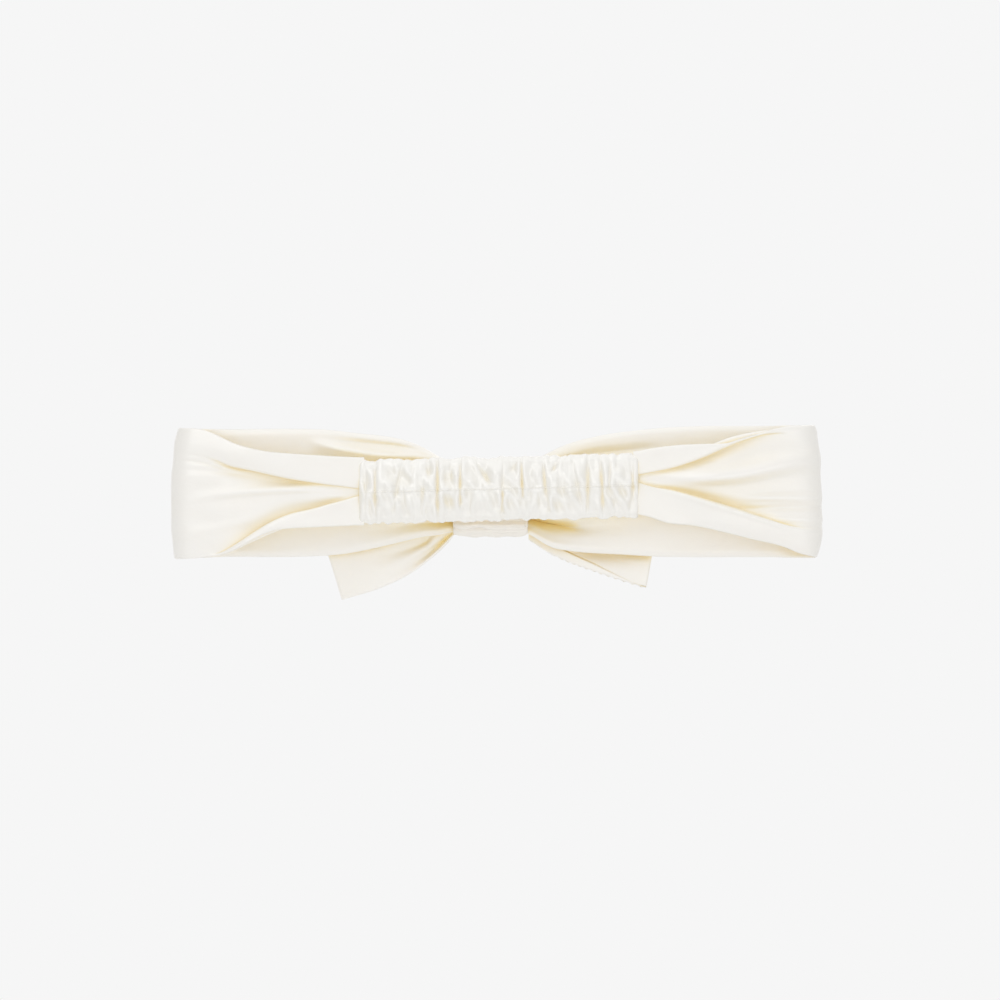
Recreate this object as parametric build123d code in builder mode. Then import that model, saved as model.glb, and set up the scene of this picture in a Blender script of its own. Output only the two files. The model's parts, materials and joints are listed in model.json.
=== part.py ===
"""Knotted headband, lying closed: a wide satin band, gathered through a knot in the middle of its front,
whose pleated ends are joined at the back by a ruched elastic casing. Two short tails hang from the knot.

Millimetres. X runs along the closed band, +Y towards the knot and +Z up, across the band's width.
The origin is the middle of the opening that the head goes through.

The loop opens like a hexagon: it bends at both ends of the casing, at both side folds and at both ends of
the gathers, about upright lines. The cloth is one piece across those lines and is cut there into one solid
per straight run and one per fold.
"""

import os
from math import atan2, cos, degrees, radians, sin

from build123d import *

# Band
HALF_SPAN = 120.0  # from the middle of the closed band to a side fold
BAND_TOP, BAND_BOTTOM = 24.4, -23.6
LAYER_Y = 7.0  # from the loop's middle plane to the middle of the front or the back band
PLY = 0.8  # one satin layer
BEND_X = 51.0  # the bends beside the knot and at the casing's ends, from the middle
BEND_GAP = 0.3  # clearance between a rounded end and the run that bends round it

# Pleats
FLAP_PLY = 1.4  # a flap is the band folded over, so it is thicker than one layer

# Knot
KNOT_X, KNOT_Z = -1.5, -2.3
KNOT_LENGTH, KNOT_HEIGHT = 27.8, 28.4
KNOT_BACK_Y, KNOT_FRONT_Y = 1.5, 14.5
WRAP_PLY = 1.7  # the wrap is a folded strip, two layers thick
WRAP_HOLE_RADIUS = 0.5
WRAP_LAP_Z = -12.4  # where the strip's ends overlap, low on the back of the knot
GATHER_HEIGHT, GATHER_THICKNESS = 24.6, 7.2  # the bunched band inside the knot

# Tails
TAIL_Y = 11.6  # middle of the tail strip where it leaves the knot
TAIL_OUT = 1.2  # from the knot's side to the line that a tail bends on
TAIL_LEAN = 2.2  # degrees that a tail falls back towards the band

# Elastic casing, which climbs a little from left to right
CASING_LEFT_Z, CASING_RIGHT_Z = 0.4, 3.0
CASING_HEIGHT, CASING_DEPTH = 24.0, 4.8
CASING_PLY = 1.2
ELASTIC_HEIGHT, ELASTIC_THICKNESS = 20.0, 1.4
SEAM_RADIUS = 2.0  # the rolled seam allowances at each end of the casing

# Stitches
STITCH_LENGTH, STITCH_WIDTH, STITCH_RISE = 2.0, 0.4, 0.25

FOLD_X = HALF_SPAN - LAYER_Y - PLY  # the side folds' axes
TAIL_X = KNOT_LENGTH / 2 + TAIL_OUT  # a tail's bend, from the knot's middle
SEAM_END = SEAM_RADIUS + BEND_GAP  # how far the pleated band stops short of the seam's axis
CASING_SLOPE = (CASING_RIGHT_Z - CASING_LEFT_Z) / (2 * BEND_X)

# Outlines of the pleated back ends, as (distance from the casing's seam, height). Both sides run outwards.
LEFT_TOP = [(SEAM_END, 12.9), (22.0, 14.2), (40.0, 17.9), (52.0, 22.0)]
LEFT_BOTTOM = [(SEAM_END, -11.5), (27.0, -12.8), (38.0, -17.6), (48.0, -22.2)]
LEFT_UPPER_FOLD = [(SEAM_END, 1.6), (10.6, 2.8), (29.0, 5.7), (47.6, 10.5), (56.0, 13.2)]
LEFT_LOWER_FOLD = [(SEAM_END, 0.2), (14.0, -4.3), (25.4, -8.0), (37.2, -13.5), (42.0, -15.8)]
RIGHT_TOP = [(SEAM_END, 13.2), (9.5, 15.0), (24.3, 17.2), (39.0, 18.3), (52.0, 22.2)]
RIGHT_BOTTOM = [(SEAM_END, -8.2), (21.3, -11.9), (34.6, -15.3), (47.6, -18.3), (58.0, -21.2)]
RIGHT_UPPER_FOLD = [(SEAM_END, 6.0), (9.1, 7.8), (19.8, 10.4), (30.2, 14.2), (38.0, 17.6)]
RIGHT_LOWER_FOLD = [(SEAM_END, 4.4), (7.6, 2.4), (18.0, -0.9), (30.2, -5.0), (47.6, -9.2), (58.0, -11.7)]

# Outlines of the tails, as (distance from the tail's bend, height)
LEFT_TAIL_LOWER = [(1.1, -14.2), (11.7, -25.3), (26.5, -34.6), (40.9, -38.6)]
LEFT_TAIL_UPPER = [(51.4, -2.0), (28.0, 0.5), (1.1, -3.4)]
RIGHT_TAIL_LOWER = [(1.1, -16.0), (9.9, -23.5), (24.7, -29.4), (41.3, -35.0)]
RIGHT_TAIL_UPPER = [(46.7, -2.0), (26.0, 0.5), (1.1, -3.4)]

os.makedirs("parts", exist_ok=True)


def write(builder, name):
    """Labels a finished piece and writes it under its own name."""
    builder.part.label = name
    export_step(builder.part, f"parts/{name}.step")


def upright(y):
    """The upright plane at y, with X to the right and Z up. It faces -Y."""
    return Plane.XZ.offset(-y)


def box_at(centre, size):
    """Adds a box to the part being built."""
    with Locations(centre):
        Box(*size)


# Front band


def front_gather():
    """The two layers of the front band's middle, which narrow to the knot and are bunched inside it."""
    knot_left, knot_right = KNOT_X - KNOT_LENGTH / 2, KNOT_X + KNOT_LENGTH / 2
    band_middle = (BAND_TOP + BAND_BOTTOM) / 2
    end_height = 47.4
    # share of the way from the knot to the bend, height, thickness of both layers
    sections = [
        (0.0, GATHER_HEIGHT, GATHER_THICKNESS),
        (0.3, 33.0, 5.0),
        (0.62, 41.5, 3.0),
        (1.0, end_height, 2 * PLY),
    ]
    for layer, side in (("outer", 1), ("lining", -1)):
        with BuildPart() as gather:
            box_at(
                (KNOT_X, LAYER_Y + side * GATHER_THICKNESS / 4, KNOT_Z),
                (KNOT_LENGTH, GATHER_THICKNESS / 2, GATHER_HEIGHT),
            )
            for knot_end, bend_end in ((knot_left, -BEND_X), (knot_right, BEND_X)):
                for share, height, thickness in sections:
                    with BuildSketch(Plane.YZ.offset(knot_end + share * (bend_end - knot_end))):
                        with Locations((LAYER_Y + side * thickness / 4, KNOT_Z + share * (band_middle - KNOT_Z))):
                            Rectangle(thickness / 2, height)
                loft()
                # a rounded end, which the front panel swings round
                with BuildSketch(Plane.XY.offset(band_middle - end_height / 2)):
                    with Locations((bend_end, LAYER_Y)):
                        Circle(PLY)
                    with Locations((bend_end, LAYER_Y - side * PLY)):
                        Rectangle(2 * PLY, 2 * PLY, mode=Mode.SUBTRACT)
                extrude(amount=end_height)
        write(gather, f"front_gather_{layer}")


def front_panel(side, name):
    """Both layers of one straight run of the front band, from the gathers to the side fold."""
    near = BEND_X + PLY + BEND_GAP
    length = FOLD_X - near
    for layer, ply_side in (("outer", 1), ("lining", -1)):
        with BuildPart() as panel:
            box_at(
                (side * (near + length / 2), LAYER_Y + ply_side * PLY / 2, (BAND_TOP + BAND_BOTTOM) / 2),
                (length, PLY, BAND_TOP - BAND_BOTTOM),
            )
        write(panel, f"front_{name}_{layer}")


def side_fold(side, name):
    """Both layers where the band turns back at a side: two half tubes, one inside the other."""
    for layer, radius in (("outer", LAYER_Y + PLY), ("lining", LAYER_Y)):
        with BuildPart() as fold:
            with BuildSketch(Plane.XY.offset(BAND_BOTTOM)):
                with Locations((side * FOLD_X, 0)):
                    Circle(radius)
                    Circle(radius - PLY, mode=Mode.SUBTRACT)
                with Locations((side * (FOLD_X - radius), 0)):
                    Rectangle(2 * radius, 2 * radius, mode=Mode.SUBTRACT)
            extrude(amount=BAND_TOP - BAND_BOTTOM)
        write(fold, f"{name}_fold_{layer}")


# Back band


def outline(side, points):
    """Turns (distance from the seam, height) into X and Z on one side."""
    return [(side * (BEND_X + distance), height) for distance, height in points]


def back_panel(side, name, top, bottom):
    """Both layers of one straight run of the back band, which narrows from the side fold to the casing."""
    edge_top, edge_bottom = outline(side, top), outline(side, bottom)
    far_x = side * (FOLD_X - BEND_GAP)
    for layer, y in (("lining", PLY - LAYER_Y), ("outer", -LAYER_Y)):
        with BuildPart() as panel:
            with BuildSketch(upright(y)):
                with BuildLine():
                    Spline(*edge_top)
                    Polyline(edge_top[-1], (far_x, BAND_TOP), (far_x, BAND_BOTTOM), edge_bottom[-1])
                    Spline(*edge_bottom)
                    Line(edge_bottom[0], edge_top[0])
                make_face()
            extrude(amount=PLY)
        write(panel, f"back_{name}_{layer}")


def pleat_flap(side, name, edge, fold):
    """One folded-over flap, between the band's own edge and the fold that faces its partner."""
    outer, inner = outline(side, edge), outline(side, fold)
    with BuildPart() as flap:
        with BuildSketch(upright(-LAYER_Y - PLY)):
            with BuildLine():
                Spline(*outer)
                Line(outer[-1], inner[-1])
                Spline(*inner)
                Line(inner[0], outer[0])
            make_face()
        extrude(amount=FLAP_PLY)
    write(flap, name)


# Knot


def knot_wrap():
    """The strip closed into a ring round the gathers and the tail strip, with soft outer corners."""
    depth = KNOT_FRONT_Y - KNOT_BACK_Y
    middle_y = (KNOT_FRONT_Y + KNOT_BACK_Y) / 2
    with BuildPart() as wrap:
        with BuildSketch(Plane.YZ.offset(KNOT_X - KNOT_LENGTH / 2)):
            with Locations((middle_y, KNOT_Z)):
                RectangleRounded(depth, KNOT_HEIGHT, depth * 0.35)
        extrude(amount=KNOT_LENGTH)
        fillet(wrap.faces().filter_by(Axis.X).edges(), radius=WRAP_PLY * 0.7)
        with BuildSketch(Plane.YZ.offset(KNOT_X - KNOT_LENGTH / 2)):
            with Locations((middle_y, KNOT_Z)):
                RectangleRounded(depth - 2 * WRAP_PLY, KNOT_HEIGHT - 2 * WRAP_PLY, WRAP_HOLE_RADIUS)
        extrude(amount=KNOT_LENGTH, mode=Mode.SUBTRACT)
    write(wrap, "knot_wrap")


def wrap_stitches():
    """Slanted hand stitches that close the wrap's ring, low on the back of the knot."""
    count, slant = 9, 25
    with BuildPart() as stitches:
        with BuildSketch(upright(KNOT_BACK_Y)):
            with Locations((KNOT_X, WRAP_LAP_Z + STITCH_LENGTH / 2)):
                with GridLocations(KNOT_LENGTH * 0.8 / (count - 1), 0, count, 1):
                    SlotOverall(STITCH_LENGTH, STITCH_WIDTH, rotation=90 - slant)
        extrude(amount=STITCH_RISE)
    write(stitches, "wrap_stitches")


def tail_root():
    """The middle of the doubled tail strip, held inside the knot. A tail bends at each rounded end."""
    low, high = -14.2, -3.4
    with BuildPart() as root:
        with BuildSketch(Plane.XY.offset(low)):
            with Locations((KNOT_X, TAIL_Y)):
                SlotCenterToCenter(2 * TAIL_X, 2 * PLY)
        extrude(amount=high - low)
    write(root, "tail_root")


# Tails


def tail(side, name, lower, upper):
    """Both layers of one tail, which fans out from the knot to a straight, slightly slanted end."""
    lean = radians(TAIL_LEAN)
    bend = (KNOT_X + side * TAIL_X, TAIL_Y, 0)
    # the blade's plane has +X away from the knot and its normal up out of the blade, along its thickness
    blade_plane = Plane(origin=bend, x_dir=(side * cos(lean), -sin(lean), 0), z_dir=(-sin(lean), -side * cos(lean), 0))
    for layer, start in (("outer", -side * PLY), ("lining", 0.0)):
        with BuildPart() as blade:
            with BuildSketch(blade_plane.offset(start)):
                with BuildLine():
                    Spline(*lower)
                    Line(lower[-1], upper[0])
                    Spline(*upper)
                    Line(upper[-1], lower[0])
                make_face()
            extrude(amount=side * PLY)
        write(blade, f"{name}_tail_{layer}")


# Elastic casing


def casing():
    """The satin tube and the woven elastic inside it. The elastic is caught in the seam at both ends."""
    start_x = SEAM_RADIUS - BEND_X
    start = Plane.YZ.offset(start_x)
    centre = (-LAYER_Y, (CASING_LEFT_Z + CASING_RIGHT_Z) / 2 + CASING_SLOPE * start_x)
    length = -2 * start_x * (1 + CASING_SLOPE**2) ** 0.5
    along = (1, 0, CASING_SLOPE)
    with BuildPart() as tube:
        with BuildSketch(start):
            with Locations(centre):
                Rectangle(CASING_DEPTH, CASING_HEIGHT)
                Rectangle(CASING_DEPTH - 2 * CASING_PLY, CASING_HEIGHT - 2 * CASING_PLY, mode=Mode.SUBTRACT)
        extrude(amount=length, dir=along)
    write(tube, "elastic_casing")
    with BuildPart() as elastic:
        with BuildSketch(start):
            with Locations(centre):
                Rectangle(ELASTIC_THICKNESS, ELASTIC_HEIGHT)
        extrude(amount=length, dir=along)
    write(elastic, "woven_elastic")


def casing_seam(side, name, seam_z):
    """The rolled seam allowances at one end of the casing, and the row of stitches that holds them."""
    with BuildPart() as roll:
        with BuildSketch(Plane.XY.offset(seam_z - CASING_HEIGHT / 2)):
            with Locations((side * BEND_X, -LAYER_Y)):
                Circle(SEAM_RADIUS)
        extrude(amount=CASING_HEIGHT)
    write(roll, f"{name}_seam_allowance")
    count = 8
    with BuildPart() as stitches:
        with BuildSketch(upright(-LAYER_Y - SEAM_RADIUS)):
            with Locations((side * BEND_X, seam_z)):
                with GridLocations(0, (CASING_HEIGHT - STITCH_LENGTH) / (count - 1) * 0.98, 1, count):
                    SlotOverall(STITCH_LENGTH, STITCH_WIDTH, rotation=90)
        extrude(amount=STITCH_RISE)
    write(stitches, f"{name}_seam_stitches")


def casing_stitches():
    """The row of stitches along the casing's middle, on its outer face."""
    count = 24
    with BuildPart() as stitches:
        with BuildSketch(upright(-LAYER_Y - CASING_DEPTH / 2)):
            with Locations(Location((0, (CASING_LEFT_Z + CASING_RIGHT_Z) / 2), degrees(atan2(CASING_SLOPE, 1)))):
                with GridLocations(2 * (BEND_X - 4.0) / (count - 1), 0, count, 1):
                    SlotOverall(STITCH_LENGTH, STITCH_WIDTH)
        extrude(amount=STITCH_RISE)
    write(stitches, "casing_stitches")


front_gather()
for side_sign, side_name in ((-1, "left"), (1, "right")):
    front_panel(side_sign, side_name)
    side_fold(side_sign, side_name)
back_panel(-1, "left", LEFT_TOP, LEFT_BOTTOM)
back_panel(1, "right", RIGHT_TOP, RIGHT_BOTTOM)
pleat_flap(-1, "left_upper_flap", LEFT_TOP, LEFT_UPPER_FOLD)
pleat_flap(-1, "left_lower_flap", LEFT_BOTTOM, LEFT_LOWER_FOLD)
pleat_flap(1, "right_upper_flap", RIGHT_TOP[:-1], RIGHT_UPPER_FOLD)
pleat_flap(1, "right_lower_flap", RIGHT_BOTTOM, RIGHT_LOWER_FOLD)
knot_wrap()
wrap_stitches()
tail_root()
tail(-1, "left", LEFT_TAIL_LOWER, LEFT_TAIL_UPPER)
tail(1, "right", RIGHT_TAIL_LOWER, RIGHT_TAIL_UPPER)
casing()
casing_seam(-1, "left", CASING_LEFT_Z)
casing_seam(1, "right", CASING_RIGHT_Z)
casing_stitches()
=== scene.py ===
"""The knotted headband's visual model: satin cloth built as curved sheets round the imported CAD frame.

Shapes are worked out in millimetres, in the CAD's own frame, and become metres when a mesh is made.
X runs along the closed band, +Y points to the knot and +Z up across the band's width.
"""

import json
from math import cos, pi, radians, sin

import bpy
import numpy as np
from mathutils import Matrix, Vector


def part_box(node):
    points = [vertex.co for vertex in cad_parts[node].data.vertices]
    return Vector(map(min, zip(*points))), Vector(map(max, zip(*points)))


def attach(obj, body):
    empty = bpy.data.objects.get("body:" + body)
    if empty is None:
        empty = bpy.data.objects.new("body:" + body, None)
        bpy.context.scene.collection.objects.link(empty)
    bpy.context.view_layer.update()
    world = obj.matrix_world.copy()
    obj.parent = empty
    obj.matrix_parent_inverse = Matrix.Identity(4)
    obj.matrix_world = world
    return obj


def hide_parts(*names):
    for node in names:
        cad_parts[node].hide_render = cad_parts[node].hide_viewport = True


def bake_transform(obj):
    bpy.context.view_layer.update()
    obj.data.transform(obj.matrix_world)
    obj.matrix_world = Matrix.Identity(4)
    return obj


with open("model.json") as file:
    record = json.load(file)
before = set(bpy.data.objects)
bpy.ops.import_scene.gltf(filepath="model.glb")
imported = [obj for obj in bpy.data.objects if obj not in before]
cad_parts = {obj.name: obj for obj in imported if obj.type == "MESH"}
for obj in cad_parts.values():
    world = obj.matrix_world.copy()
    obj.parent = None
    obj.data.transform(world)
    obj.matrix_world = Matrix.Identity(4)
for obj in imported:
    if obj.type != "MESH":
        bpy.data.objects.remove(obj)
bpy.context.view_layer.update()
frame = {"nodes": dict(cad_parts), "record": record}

MM = 0.001
JOINTS = {joint["name"]: joint for joint in frame["record"]["behaviour"]["joints"]}


def joint_mm(name):
    """Where a joint's axis stands, in millimetres."""
    return np.array(JOINTS[name]["pos_m"]) / MM


SEAM_X = joint_mm("right_gather_bend")[0]  # the bends beside the knot and at the casing's ends
FOLD_X = joint_mm("right_side_bend")[0]  # the side folds' axes
LAYER_Y = joint_mm("right_gather_bend")[1]  # the front band's middle surface; the back band's is at -LAYER_Y
TAIL_LEFT, TAIL_RIGHT = joint_mm("left_tail_flap"), joint_mm("right_tail_flap")
KNOT_LOW, KNOT_HIGH = (np.array(corner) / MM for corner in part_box("knot_wrap"))
KNOT_OFFSET = -0.7  # the knot stands a little left of the CAD one, as in the photo
KNOT_X = (KNOT_LOW[0] + KNOT_HIGH[0]) / 2 + KNOT_OFFSET
KNOT_Z = (KNOT_LOW[2] + KNOT_HIGH[2]) / 2

BAND_WIDTH = 48.0
CLOTH = 0.7  # both satin layers of the band, pressed together
DOUBLED = 1.3  # the doubled strips of the knot and the tails
THINNEST = 0.12  # a sheet's thickness at the very edge of a turned side
FINE_THREAD, WRAP_THREAD, SEAM_THREAD = 0.11, 0.13, 0.14  # the radii of the stitches

# -------- shapes


def curve_through(points):
    """A smooth function through (place, value) points, level beyond both ends."""
    places, values = np.array(points, float).T
    slopes = np.gradient(values, places)

    def at(place):
        place = np.clip(place, places[0], places[-1])
        i = np.clip(np.searchsorted(places, place) - 1, 0, len(places) - 2)
        span = places[i + 1] - places[i]
        t = (place - places[i]) / span
        rise = values[i + 1] - values[i]
        start, end = slopes[i] * span, slopes[i + 1] * span
        return values[i] + t * (start + t * (3 * rise - 2 * start - end + t * (start + end - 2 * rise)))

    return at


def smoothstep(low, high, value):
    """0 below low, 1 above high and an even S between them."""
    t = np.clip((value - low) / (high - low), 0.0, 1.0)
    return t * t * (3 - 2 * t)


def ripples(u, v, seed, size, count=7):
    """Soft irregular waves between about -1 and 1.

    size is the usual distance between crests, along u and v.
    """
    draw = np.random.default_rng(seed)
    total = np.zeros(np.broadcast(u, v).shape)
    for _ in range(count):
        turn, stretch, phase = draw.uniform(0, pi), draw.uniform(0.6, 1.6), draw.uniform(0, 2 * pi)
        total += np.sin(2 * pi * stretch * (cos(turn) * u / size[0] + sin(turn) * v / size[1]) + phase)
    return total / count**0.5 / 1.2


def blur(grid, amount, axis):
    """Softens a grid along one axis by repeated averaging, with its ends held."""
    grid = np.moveaxis(np.array(grid, float), axis, 0)
    for _ in range(amount):
        grid[1:-1] = 0.25 * grid[:-2] + 0.5 * grid[1:-1] + 0.25 * grid[2:]
    return np.moveaxis(grid, 0, axis)


def grid_normals(points, closed_v=False):
    """Unit normals of a grid of points, from its two directions."""
    along = np.gradient(points, axis=0)
    if closed_v:
        across = (np.roll(points, -1, axis=1) - np.roll(points, 1, axis=1)) / 2
    else:
        across = np.gradient(points, axis=1)
    normal = np.cross(along, across)
    return normal / np.maximum(np.linalg.norm(normal, axis=2, keepdims=True), 1e-9)


def lengths_along(points, axis):
    """How far each grid point lies along its own row, in millimetres."""
    steps = np.linalg.norm(np.diff(points, axis=axis), axis=2)
    start = np.zeros_like(np.take(steps, [0], axis=axis))
    return np.concatenate([start, np.cumsum(steps, axis=axis)], axis=axis)


def make_piece(name, vertices, faces, uvs, materials, material_index=None):
    """A mesh object from millimetre points. uvs holds one (u, v) in millimetres of cloth per vertex."""
    mesh = bpy.data.meshes.new(name)
    mesh.from_pydata((np.asarray(vertices) * MM).tolist(), [], faces)
    for material in materials:
        mesh.materials.append(material)
    if material_index is not None:
        mesh.polygons.foreach_set("material_index", material_index)
    layer = mesh.uv_layers.new(name="cloth")
    loops = np.zeros(len(mesh.loops), dtype=np.int32)
    mesh.loops.foreach_get("vertex_index", loops)
    layer.data.foreach_set("uv", np.asarray(uvs)[loops].astype(np.float32).ravel())
    mesh.polygons.foreach_set("use_smooth", [True] * len(mesh.polygons))
    mesh.update()
    piece = bpy.data.objects.new(name, mesh)
    bpy.context.scene.collection.objects.link(piece)
    return piece


def cloth_shell(name, middle, thickness, materials, closed_v=False):
    """A sheet with two faces, made from the grid of its middle surface.

    The faces close over the sheet's edges. With closed_v the second direction is a ring.
    materials are the outer face's and the lining's.
    """
    nu, nv = middle.shape[:2]
    normal = grid_normals(middle, closed_v)
    half = np.broadcast_to(np.asarray(thickness, float) / 2, (nu, nv))[..., None]
    outer, inner = middle + half * normal, middle - half * normal
    u, v = lengths_along(middle, 0).mean(axis=1, keepdims=True), lengths_along(middle, 1)
    uv = np.stack([np.broadcast_to(u, (nu, nv)), v], axis=2).reshape(-1, 2)
    index = np.arange(nu * nv).reshape(nu, nv)
    lining = index + nu * nv
    i = np.arange(nu - 1)[:, None]
    j = np.arange(nv if closed_v else nv - 1)[None, :]
    nj = (j + 1) % nv
    top = np.stack([index[i, j], index[i + 1, j], index[i + 1, nj], index[i, nj]], axis=-1).reshape(-1, 4)
    under = np.stack([lining[i, j], lining[i, nj], lining[i + 1, nj], lining[i + 1, j]], axis=-1)
    under = under.reshape(-1, 4)
    rims = []
    ring = np.arange(nv if closed_v else nv - 1)
    for row, flip in ((0, False), (nu - 1, True)):
        a, b = index[row, ring], index[row, (ring + 1) % nv]
        c, d = lining[row, (ring + 1) % nv], lining[row, ring]
        rims.append(np.stack([a, b, c, d] if not flip else [b, a, d, c], axis=-1))
    if not closed_v:
        run = np.arange(nu - 1)
        for column, flip in ((0, True), (nv - 1, False)):
            a, b = index[run, column], index[run + 1, column]
            c, d = lining[run + 1, column], lining[run, column]
            rims.append(np.stack([a, b, c, d] if not flip else [b, a, d, c], axis=-1))
    rim = np.concatenate(rims)
    faces = np.concatenate([top, rim, under])
    slots = np.concatenate([np.zeros(len(top) + len(rim)), np.ones(len(under))]).astype(int)
    vertices = np.concatenate([outer.reshape(-1, 3), inner.reshape(-1, 3)])
    piece = make_piece(name, vertices, faces.tolist(), np.concatenate([uv, uv]), materials, slots)
    # each cut end's edges are sharp, so that its flat rim doesn't darken the cloth beside it
    ends = np.zeros(len(vertices), bool)
    ends[np.concatenate([index[0], index[-1], lining[0], lining[-1]])] = True
    pairs = np.zeros(2 * len(piece.data.edges), dtype=np.int32)
    piece.data.edges.foreach_get("vertices", pairs)
    sharp = piece.data.attributes.new("sharp_edge", "BOOLEAN", "EDGE")
    sharp.data.foreach_set("value", ends[pairs.reshape(-1, 2)].all(axis=1))
    return piece


def threads(name, runs, radius, material):
    """One piece made of many short rounded threads. Each run is a list of millimetre points."""
    vertices, faces, uvs = [], [], []
    sides = 8
    tip_reach, tip_width = 0.7, 0.45  # as shares of the radius
    off_axis = (0.31, 0.87, 0.38)  # a direction that no run lies along
    for run in runs:
        run = np.array(run, float)
        ahead = np.gradient(run, axis=0)
        ahead /= np.linalg.norm(ahead, axis=1, keepdims=True)
        # each end is rounded by one extra, narrower ring
        tip = ahead * radius * tip_reach
        run = np.concatenate([[run[0] - tip[0]], run, [run[-1] + tip[-1]]])
        ahead = np.concatenate([[ahead[0]], ahead, [ahead[-1]]])
        width = np.full(len(run), radius)
        width[0] = width[-1] = radius * tip_width
        beside = np.cross(ahead, off_axis)
        beside /= np.linalg.norm(beside, axis=1, keepdims=True)
        above = np.cross(ahead, beside)
        turn = np.linspace(0, 2 * pi, sides, endpoint=False)
        rings = run[:, None] + width[:, None, None] * (
            np.cos(turn)[None, :, None] * beside[:, None] + np.sin(turn)[None, :, None] * above[:, None]
        )
        base = len(vertices)
        vertices += rings.reshape(-1, 3).tolist()
        uvs += [(k, j) for k in range(len(run)) for j in range(sides)]
        for k in range(len(run) - 1):
            for j in range(sides):
                a, b = base + k * sides + j, base + k * sides + (j + 1) % sides
                faces.append((a, b, b + sides, a + sides))
        faces.append(tuple(base + j for j in reversed(range(sides))))
        faces.append(tuple(base + (len(run) - 1) * sides + j for j in range(sides)))
    return make_piece(name, vertices, faces, uvs, [material])


def rounded_edges(count, width, thickness, edge):
    """Thickness across a sheet that closes in a round edge at both sides, as a turned tube does."""
    place = np.linspace(0, width, count)
    inwards = np.minimum(place, width - place)
    closing = np.clip(1 - inwards / edge, 0, 1)
    return np.maximum(thickness * np.sqrt(1 - closing**2), THINNEST)


# -------- materials


# Texture scales of the satin, in repeats for each millimetre along and across the cloth
TONE_SCALE, SLUB_SCALE, CRUSH_SCALE = (0.05, 0.09), (1.2, 7.0), (0.10, 0.22)
SHINE_SCALE, WEAVE_SCALE = (0.3, 0.6), (0.4, 1.0)
SLUB_HEIGHT, CRUSH_HEIGHT = 0.9, 9.0  # beside the weave's own 1
SATIN_RELIEF = 0.06 * MM
# The satin's painted shade: its colour goes over to a warm gold where a fold's walls close round it
HOLLOW_REACH = 15.5 * MM  # how far away a fold's walls still count
FULL_SHADE_OPENNESS, NO_SHADE_OPENNESS = 0.34, 0.93  # how open a place is where it is at its warmest, and where it isn't warmed
FOLD_SHADE_GOLD = (1.0, 0.85, 0.46)  # the usual tint in the depth of a fold
SILK_IOR = 2.1


def blank(name, coordinates="ShaderNodeTexCoord"):
    """A new material with its nodes, links and shader, and the node that gives its textures their place."""
    material = bpy.data.materials.new(name)
    material.use_nodes = True
    nodes, links = material.node_tree.nodes, material.node_tree.links
    return material, nodes, links, nodes["Principled BSDF"], nodes.new(coordinates)


def two_tones(nodes, links, factor, dark, light, low=0.0, high=1.0):
    """A colour that goes from dark to light as the factor goes from low to high."""
    tone = nodes.new("ShaderNodeValToRGB")
    for stop, place, colour in zip(tone.color_ramp.elements, (low, high), (dark, light)):
        stop.position, stop.color = place, (*colour, 1)
    links.new(factor, tone.inputs["Fac"])
    return tone.outputs["Color"]


def ranged(nodes, links, value, source=(0.0, 1.0), result=(0.0, 1.0)):
    """A value, moved from one range to another."""
    node = nodes.new("ShaderNodeMapRange")
    for key, number in zip(("From Min", "From Max", "To Min", "To Max"), (*source, *result)):
        node.inputs[key].default_value = number
    links.new(value, node.inputs["Value"])
    return node.outputs["Result"]


def add_relief(nodes, links, shader, height, distance, strength=1.0):
    """Lets a height pattern tilt the shading. distance is the pattern's depth in metres."""
    bump = nodes.new("ShaderNodeBump")
    bump.inputs["Strength"].default_value = strength
    bump.inputs["Distance"].default_value = distance
    links.new(height, bump.inputs["Height"])
    links.new(bump.outputs["Normal"], shader.inputs["Normal"])


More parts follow.
